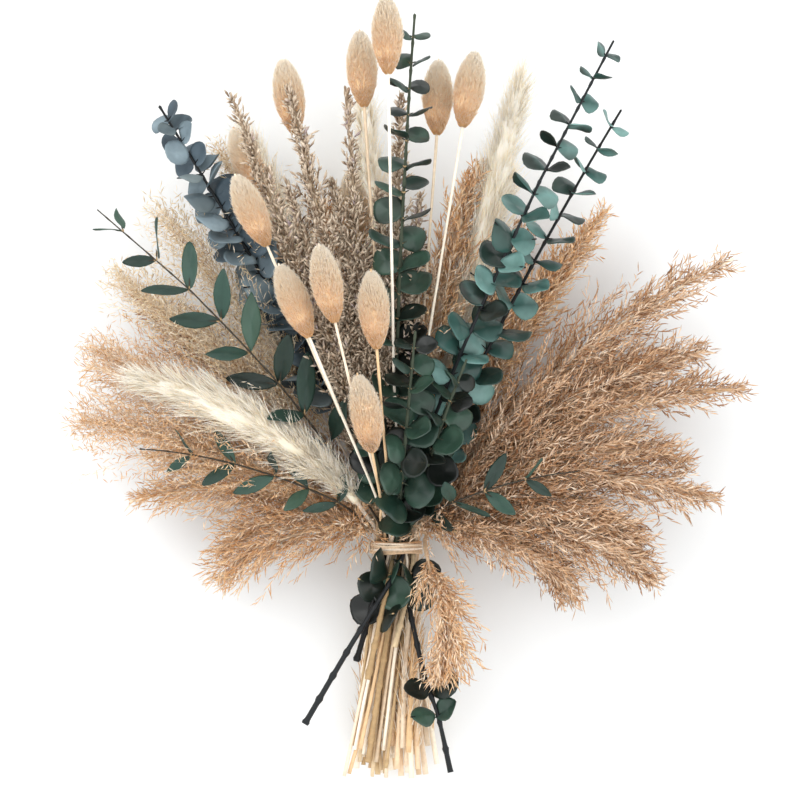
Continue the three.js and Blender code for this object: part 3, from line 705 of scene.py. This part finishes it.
def bunny_head(growth, line, radii, rng, material):
    """A soft oval head: a core set thickly with fine forward-leaning hairs."""
    whole = resample(line, BUNNY_SAMPLES)
    total = lengths_along(whole)[-1]
    begin = lengths_along(line)[head_start(radii)] / total
    n = BUNNY_HAIRS
    share = rng.random(n)
    places = begin + (1 - begin) * (HAIRS_FROM + HAIRS_RUN * share)
    root, along, aside, other = on_curve(whole, places)
    off = around(aside, other, rng.random(n) * FULL_TURN)
    swell = np.sin(np.pi * (OVAL_FROM + OVAL_RUN * share)) ** OVAL_FULLNESS
    depth = radii.max() * HAIR_DEPTH * swell * rng.uniform(*HAIR_ROOTS, n)
    root = root + off * depth[:, None]
    lean = np.radians(HAIR_LEAN - LEAN_LOST * share**2 + rng.normal(0, LEAN_VARIES, n))[:, None]
    heading = along * np.cos(lean) + off * np.sin(lean)
    lengths = rng.uniform(*HAIR_LENGTH, n) * MM * (SHORTEST_HAIR + SWELL_HAIR * swell)
    pull = along * HAIR_PULL
    paths = bent_paths(root, heading, lengths, HAIR_STATIONS, pull, rng, HAIR_WANDER)
    tones = np.clip(FOOT_TONE + TONE_GAIN * share + rng.normal(0, TONE_VARIES, n), 0, 1)
    growth.strands(paths, np.tile(HAIR_RADII, (n, 1)), tones, material)
    core, thin = resample(line, BUNNY_SAMPLES, radii)
    gone = (lengths_along(core) / total - begin) / (1 - begin)
    inside = (gone > 0) & (gone < CORE_RUN)
    top = np.clip((ROUND_TOP[0] - gone[inside]) / ROUND_TOP[1], 0, 1)
    foot = np.clip(gone[inside] / ROUND_FOOT, 0, 1)
    core_radii = np.maximum(thin[inside] * OVAL_CORE * np.sqrt(top * foot), THINNEST_CORE)
    growth.tube(core[inside], core_radii, OVAL_TONE, material, OVAL_SIDES)


# ---- Torn sheaths ----
SHEATH_SAMPLES = 120
SHEATH_HAIRS = 110
SHEATH_SHARES = (0.05, 0.36)   # where along a stalk its torn sheath leaves fibres
SHEATH_LEAN = (4, 32)          # degrees off the stalk
SHEATH_LENGTH = (6, 20)
SHEATH_SAG = 0.1
SHEATH_WANDER = 0.4
SHEATH_RADII = np.array([0.3, 0.28, 0.16, 0]) * MM
SHEATH_TONES = (0.3, 0.7)


def frayed_sheath(growth, line, rng, material):
    """Pale fibres of a torn leaf sheath, lying along the stalk below the tie."""
    n = SHEATH_HAIRS
    whole = resample(line, SHEATH_SAMPLES)
    root, along, aside, other = on_curve(whole, rng.uniform(*SHEATH_SHARES, n))
    off = around(aside, other, rng.random(n) * FULL_TURN)
    lean = np.radians(rng.uniform(*SHEATH_LEAN, n))[:, None]
    heading = along * np.cos(lean) + off * np.sin(lean)
    lengths = rng.uniform(*SHEATH_LENGTH, n) * MM
    stations = len(SHEATH_RADII)
    root = root + off * MM
    paths = bent_paths(root, heading, lengths, stations, UP * -SHEATH_SAG, rng, SHEATH_WANDER)
    growth.strands(paths, np.tile(SHEATH_RADII, (n, 1)), rng.uniform(*SHEATH_TONES, n), material)


# ---- Leaves ----
# scale: half length, as a share of the solid leaf's. width: as a share of the length. point: how
# much it narrows to its ends. cup and wave: how far it curves and ripples, in half lengths.
LEAF_FORMS = {
    "eucalyptus": dict(scale=1.16, width=0.94, point=0.16, cup=0.34, wave=0.07),
    "eucalyptus_grey": dict(scale=1.42, width=1.02, point=0.06, cup=0.34, wave=0.06),
    "sprig": dict(scale=1.2, width=0.34, point=0.5, cup=0.16, wave=0.04),
}
LEAF_RINGS = 5
LEAF_SPOKES = 16
LEAF_SHEET = 0.22 * MM
LEAF_ROLL = 20            # degrees, about its midrib, that a leaf may turn from the solid's
LEAVES_VARY = (0.86, 1.1)
POINT_VARIES = (0.6, 1.8)
CUP_VARIES = (0.3, 1.3)
CUPPED_UP = 0.7           # share of the leaves that cup upward
CURL = 0.18
FOLD = 0.1                # how far the midrib's fold lifts the sides, and how deep it lies
FOLD_DEPTH = 0.08
RIPPLES = 3
RIPPLE_PHASE = 6          # radians within which a ripple may start
LEAF_TONES = 0.75         # range of the leaves' tones, and how much a leaf's own rises from its midrib to its edges: a painted highlight along the rims
PAINTED_EDGE_HIGHLIGHT = 0.12
UNDERSIDE_TONE = 0.22
NECK_FROM = -0.5 * MM     # a leaf's short stalk starts inside the stem,
NECK_REACH = 0.5          # and runs this far along the blade, in half lengths
NECK_RADII = np.array([0.5, 0.4, 0.35, 0]) * MM
NECK_TONE = 0.3
NECK_SIDES = 5


def leaf(growth, solid, form, rng, material):
    """A thin cupped leaf with a folded midrib, closed all round."""
    root, outward, normal, size = solid
    half = size * form["scale"] * rng.uniform(*LEAVES_VARY)
    roll = math.radians(rng.normal(0, LEAF_ROLL))
    normal = unit(normal * math.cos(roll) + np.cross(outward, normal) * math.sin(roll))
    across = np.cross(normal, outward)
    ring = np.arange(1, LEAF_RINGS + 1)[:, None] / LEAF_RINGS
    spoke = np.arange(LEAF_SPOKES)[None] * FULL_TURN / LEAF_SPOKES
    u = ring * np.cos(spoke)
    v = ring * np.sin(spoke)
    narrow = 1 - rng.uniform(*POINT_VARIES) * form["point"] * np.abs(u) ** 2
    side = v * narrow * form["width"]
    cup = form["cup"] * rng.uniform(*CUP_VARIES) * (1 if rng.random() < CUPPED_UP else -1)
    curl = rng.uniform(-CURL, CURL)
    lift = cup * (u**2 / 2 + side**2) + FOLD * np.abs(side) - FOLD_DEPTH
    ripple = ring * np.sin(RIPPLES * spoke + rng.random() * RIPPLE_PHASE)
    lift = lift + form["wave"] * ripple + curl * u * side
    blade = np.stack([u, side, lift], -1).reshape(-1, 3)
    blade = np.vstack([blade, [0, 0, -FOLD_DEPTH]])
    top = root + outward * half + half * (blade @ np.stack([outward, across, normal]))
    sheet = normal * LEAF_SHEET
    places = np.vstack([top + sheet / 2, top - sheet / 2])
    share = np.concatenate([((1 + u) / 2).ravel(), [0.5]])
    from_midrib = np.concatenate([np.abs(v).ravel(), [0]])
    # The tone rises towards the blade's edges: a painted highlight that lightens most leaves at their
    # rims.
    shade = np.clip(rng.random() * LEAF_TONES + PAINTED_EDGE_HIGHLIGHT * from_midrib, 0, 1)
    tone = np.concatenate([shade, np.clip(shade + UNDERSIDE_TONE, 0, 1)])
    growth.add(places, leaf_faces(), tone, np.tile(share, 2), material)
    neck_end = root + outward * half * NECK_REACH
    neck = np.linspace(root + outward * NECK_FROM, neck_end, len(NECK_RADII))[None]
    growth.strands(neck, NECK_RADII[None], np.array([NECK_TONE]), 0, NECK_SIDES)


def leaf_faces():
    """Top, underside and rim of a leaf built as rings round a middle vertex."""
    sheet = LEAF_RINGS * LEAF_SPOKES + 1
    middle = sheet - 1
    faces = []
    for s in range(LEAF_SPOKES):
        t = (s + 1) % LEAF_SPOKES
        faces += [(middle, s, t), (sheet + middle, sheet + t, sheet + s)]
        for r in range(LEAF_RINGS - 1):
            a, b = r * LEAF_SPOKES + s, r * LEAF_SPOKES + t
            c, d = a + LEAF_SPOKES, b + LEAF_SPOKES
            faces += [(a, c, d), (a, d, b)]
            faces += [(sheet + a, sheet + d, sheet + c), (sheet + a, sheet + b, sheet + d)]
        a, b = (LEAF_RINGS - 1) * LEAF_SPOKES + s, (LEAF_RINGS - 1) * LEAF_SPOKES + t
        faces += [(a, sheet + a, sheet + b), (a, sheet + b, b)]
    return np.array(faces)


# ---- The raffia band ----
BAND_WIDTH = 6.5 * MM
BAND_STRANDS = 9
BAND_STATIONS = 72
STRANDS_SPREAD = 0.86     # share of the band's width over which the strands' middles lie
STRAND_WIDTH = (0.9 * MM, 1.5 * MM)
STRAND_THICKNESS = 0.3 * MM
STRAND_SWAY = 0.35 * MM
STRAND_DEPTH = 0.75 * MM  # of the outermost strands below the solid band's surface
LAYERS = 3
LAYER_STEP = 0.25 * MM
BUMPS = 5                 # round the band
BUMP_HEIGHT = 0.12 * MM
RAFFIA_SEED = 5


def ribbon(growth, points, outward, width, thick, tone, closed, material):
    """A flat strip along points: closed into a ring, or with two capped ends."""
    along = directions(points)
    if closed:
        along = unit(np.roll(points, -1, 0) - np.roll(points, 1, 0))
    across = unit(np.cross(along, outward))
    corners = [points + sx * across * width / 2 + sy * outward * thick / 2
               for sx, sy in ((-1, -1), (1, -1), (1, 1), (-1, 1))]
    places = np.stack(corners, 1).reshape(-1, 3)
    n = len(points)
    faces = []
    for i in range(n if closed else n - 1):
        for s in range(4):
            a, b = i * 4 + s, i * 4 + (s + 1) % 4
            c, d = (a + 4) % (n * 4), (b + 4) % (n * 4)
            faces += [(a, b, d), (a, d, c)]
    if not closed:
        faces += [(0, 2, 1), (0, 3, 2)]
        last = (n - 1) * 4
        faces += [(last, last + 1, last + 2), (last, last + 2, last + 3)]
    share = np.repeat(np.linspace(0, 1, n), 4)
    growth.add(places, np.array(faces), np.full(n * 4, tone), share, material)


def raffia_tie(materials):
    """Flat strands wound round the stems in three layers, with their knot."""
    rng = np.random.default_rng(RAFFIA_SEED)
    low, high = (np.array(corner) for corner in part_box("raffia_tie"))
    outer = (high[2] - low[2]) / 2
    middle = np.array([high[0] - outer, (low[1] + high[1]) / 2, (low[2] + high[2]) / 2])
    growth = Growth()
    angle = np.linspace(0, FULL_TURN, BAND_STATIONS, endpoint=False)
    outward = np.stack([np.cos(angle), np.zeros_like(angle), np.sin(angle)], 1)
    for i in range(BAND_STRANDS):
        aside = (i / (BAND_STRANDS - 1) - 0.5) * BAND_WIDTH * STRANDS_SPREAD
        sway = STRAND_SWAY * np.sin(angle * rng.integers(1, 4) + rng.random() * RIPPLE_PHASE)
        depth = STRAND_DEPTH + LAYER_STEP * (i % LAYERS)
        radius = outer - depth + BUMP_HEIGHT * np.sin(angle * BUMPS + i)
        points = middle + outward * radius[:, None] + AHEAD * (aside + sway)[:, None]
        width = rng.uniform(*STRAND_WIDTH)
        ribbon(growth, points, outward, width, STRAND_THICKNESS, rng.random(), True, 0)
    raffia_knot(growth, middle, outer, rng)
    growth.piece("raffia_band", "raffia", ["raffia_tie"], [materials["raffia"]])


KNOT_OUT = 0.6 * MM       # of the knot's middle from the band's outside
KNOT_RISE = 5 * MM        # and above the bundle's middle
KNOT_TURNS = 5
KNOT_STATIONS = 20
KNOT_LENGTH = 2.6 * MM
KNOT_WIDTHS = (1.5 * MM, 0.3 * MM)     # of the first turn, and what each next one adds
KNOT_TILT = 0.7           # radians between one turn and the next
KNOT_WARP = 0.5 * MM
KNOT_STRAND = (1.1 * MM, 0.5 * MM)     # width and thickness
KNOT_FACING = np.array([-1.0, 0.0, 0.25])
TAIL_STATIONS = 10
TAIL_REACH = np.array([-3.0, 9.0, 4.0]) * MM
TAIL_SAG = np.array([-2.0, 0.0, -2.0]) * MM
TAIL_BEND = 3             # radians of a sine wave that a tail's sag runs through
TAIL_STRAND = (1.2 * MM, 0.3 * MM)


def raffia_knot(growth, middle, outer, rng):
    """A small flat knot at the band's left, with two short tails."""
    left = middle + np.array([-outer - KNOT_OUT, 0, KNOT_RISE])
    facing = unit(KNOT_FACING)
    angle = np.linspace(0, FULL_TURN, KNOT_STATIONS, endpoint=False)
    for turn in range(KNOT_TURNS):
        long = KNOT_LENGTH * np.cos(angle)
        wide = (KNOT_WIDTHS[0] + KNOT_WIDTHS[1] * turn) * np.sin(angle)
        cos, sin = math.cos(turn * KNOT_TILT), math.sin(turn * KNOT_TILT)
        warp = KNOT_WARP * np.sin(2 * angle + turn)
        points = left + np.stack([warp, long * cos - wide * sin, long * sin + wide * cos], 1)
        outward = np.tile(facing, (KNOT_STATIONS, 1))
        ribbon(growth, points, outward, *KNOT_STRAND, rng.random(), True, 0)
    for side in (-1, 1):
        t = np.linspace(0, 1, TAIL_STATIONS)[:, None]
        reach = TAIL_REACH * [1, side, 1]
        points = left + t * reach + np.sin(t * TAIL_BEND) * TAIL_SAG
        outward = np.tile(facing, (TAIL_STATIONS, 1))
        ribbon(growth, points, outward, *TAIL_STRAND, rng.random(), False, 0)


# ---- The plants ----
PLANT_KINDS = ("eucalyptus", "sprig", "bunny_tail", "pampas", "reed", "fine_grass", "lavender")
TWIG_SHARE = {"eucalyptus": 0.8, "sprig": 0.6}      # of the solid's radius
STEM_IN_HEAD = 0.6        # radius of a stem inside its head, as a share of that below
REED_FORMS = {"reed_left": "pale_reed", "reed_top": "top_reed", "reed_low": "low_reed"}
PALE_REEDS = ("pale_reed", "top_reed", "low_reed")
BROWN_GRASS = ("fine_grass_4", "fine_grass_5")      # the lowest stems of the fine grass
FIRST_SEED = 100


def plant_kind(node):
    return next((kind for kind in PLANT_KINDS if node.startswith(kind)), None)


def leafy_plant(node, kind, slot, rng, materials):
    """A eucalyptus branch or a sprig; its leaves below the tie are always green and round."""
    line, radii, leaves = leafy_line(node)
    growth = Growth()
    jointed_twig(growth, line, radii * TWIG_SHARE[kind], rng, 0)
    tie = np.mean(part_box("raffia_tie"), axis=0)
    for each in leaves:
        below = each[0][1] < tie[1]
        form = LEAF_FORMS["eucalyptus"] if below else LEAF_FORMS.get(slot, LEAF_FORMS[kind])
        leaf(growth, each, form, rng, 2 if below else 1)
    blade = kind
    if slot == "eucalyptus_grey":
        blade = slot
    elif "_right_" in node:
        blade = "eucalyptus_teal"
    bark = "green_twig"
    if kind == "sprig":
        bark = "dark_sprig"
    elif "_right_" in node or "_blue" in node:
        bark = "twig"
    growth.piece(f"{node}_plant", slot, [node],
                 [materials[bark], materials[blade], materials["eucalyptus"]])


def headed_plant(node, kind, slot, rng, materials):
    """A bare stalk with a branched or an oval head."""
    line, radii = plain_line(node)
    growth = Growth()
    in_head = np.arange(len(radii)) > head_start(radii)
    stalk(growth, line, np.where(in_head, radii[1] * STEM_IN_HEAD, radii), rng, 0)
    if kind == "bunny_tail":
        bunny_head(growth, line, radii, rng, 1)
        head = "bunny"
    else:
        form = REED_FORMS.get(node.rsplit("_", 1)[0], kind)
        panicle(growth, form, line, radii, rng, 1, 0)
        head = "pale_reed" if form in PALE_REEDS or node in BROWN_GRASS else kind
    if kind in ("reed", "pampas"):
        frayed_sheath(growth, line, rng, 0)
    bark = "brown_stalk" if kind == "lavender" else "straw"
    growth.piece(f"{node}_plant", slot, [node], [materials[bark], materials[head]])


def grow_bunch(materials):
    slots = {row["node"]: row["material_slot"] for row in frame["record"]["subparts"]}
    for index, node in enumerate(sorted(frame["nodes"])):
        kind = plant_kind(node)
        if kind is None:
            continue
        rng = np.random.default_rng(FIRST_SEED + index)
        grow = leafy_plant if kind in TWIG_SHARE else headed_plant
        grow(node, kind, slots[node], rng, materials)
    raffia_tie(materials)


# ---- Stage, light and camera ----
FLOOR_SIZE = 8
FLOOR_COLOR = (0.84, 0.85, 0.855, 1)
FLOOR_ROUGHNESS = 0.95
WORLD_COLOR = (0.99, 1.0, 1.0, 1)
WORLD_STRENGTH = 1.3
LAMP_SIZE = 1.6
LAMPS = (("key", (-0.9, 1.0, 1.6), 15), ("fill", (1.2, -0.5, 1.4), 7))    # name, place, power
VIEW_MARGIN = 1.025       # the view's width, in lengths of the bunch
VIEW_SHIFT = -0.006       # the view's middle below the bunch's middle, in lengths of the bunch
VIEW_ASIDE = -0.018       # and to its left, in the same unit
CAMERA_HEIGHT = 2.3
SENSOR = 36


def make_stage():
    bpy.ops.mesh.primitive_plane_add(size=FLOOR_SIZE, location=(0, 0, 0))
    floor = bpy.context.object
    floor.name = "floor"
    material = bpy.data.materials.new("pale_floor")
    material.use_nodes = True
    shader = material.node_tree.nodes["Principled BSDF"]
    shader.inputs["Base Color"].default_value = FLOOR_COLOR
    shader.inputs["Roughness"].default_value = FLOOR_ROUGHNESS
    floor.data.materials.append(material)


def make_light():
    world = bpy.data.worlds.new("studio")
    bpy.context.scene.world = world
    world.use_nodes = True
    background = world.node_tree.nodes["Background"]
    background.inputs["Color"].default_value = WORLD_COLOR
    background.inputs["Strength"].default_value = WORLD_STRENGTH
    for name, place, power in LAMPS:
        lamp = bpy.data.lights.new(name, "AREA")
        lamp.size = LAMP_SIZE
        lamp.energy = power
        obj = bpy.data.objects.new(name, lamp)
        obj.location = place
        obj.rotation_euler = (-Vector(place)).to_track_quat("-Z", "Y").to_euler()
        bpy.context.scene.collection.objects.link(obj)


def make_camera():
    low, high = (np.array(corner) for corner in cad_box)
    size = high - low
    camera = bpy.data.cameras.new("camera")
    camera.sensor_width = SENSOR
    drop = CAMERA_HEIGHT - size[2] / 2
    camera.lens = SENSOR * drop / (size[1] * VIEW_MARGIN)
    obj = bpy.data.objects.new("camera", camera)
    middle = (low + high) / 2
    obj.location = (middle[0] + VIEW_ASIDE * size[1], middle[1] + VIEW_SHIFT * size[1], CAMERA_HEIGHT)
    bpy.context.scene.collection.objects.link(obj)
    bpy.context.scene.camera = obj
    bpy.context.scene.view_settings.view_transform = "Standard"


make_camera()
make_stage()
make_light()
grow_bunch(stalk_materials() | leaf_materials() | head_materials())

bpy.context.view_layer.update()
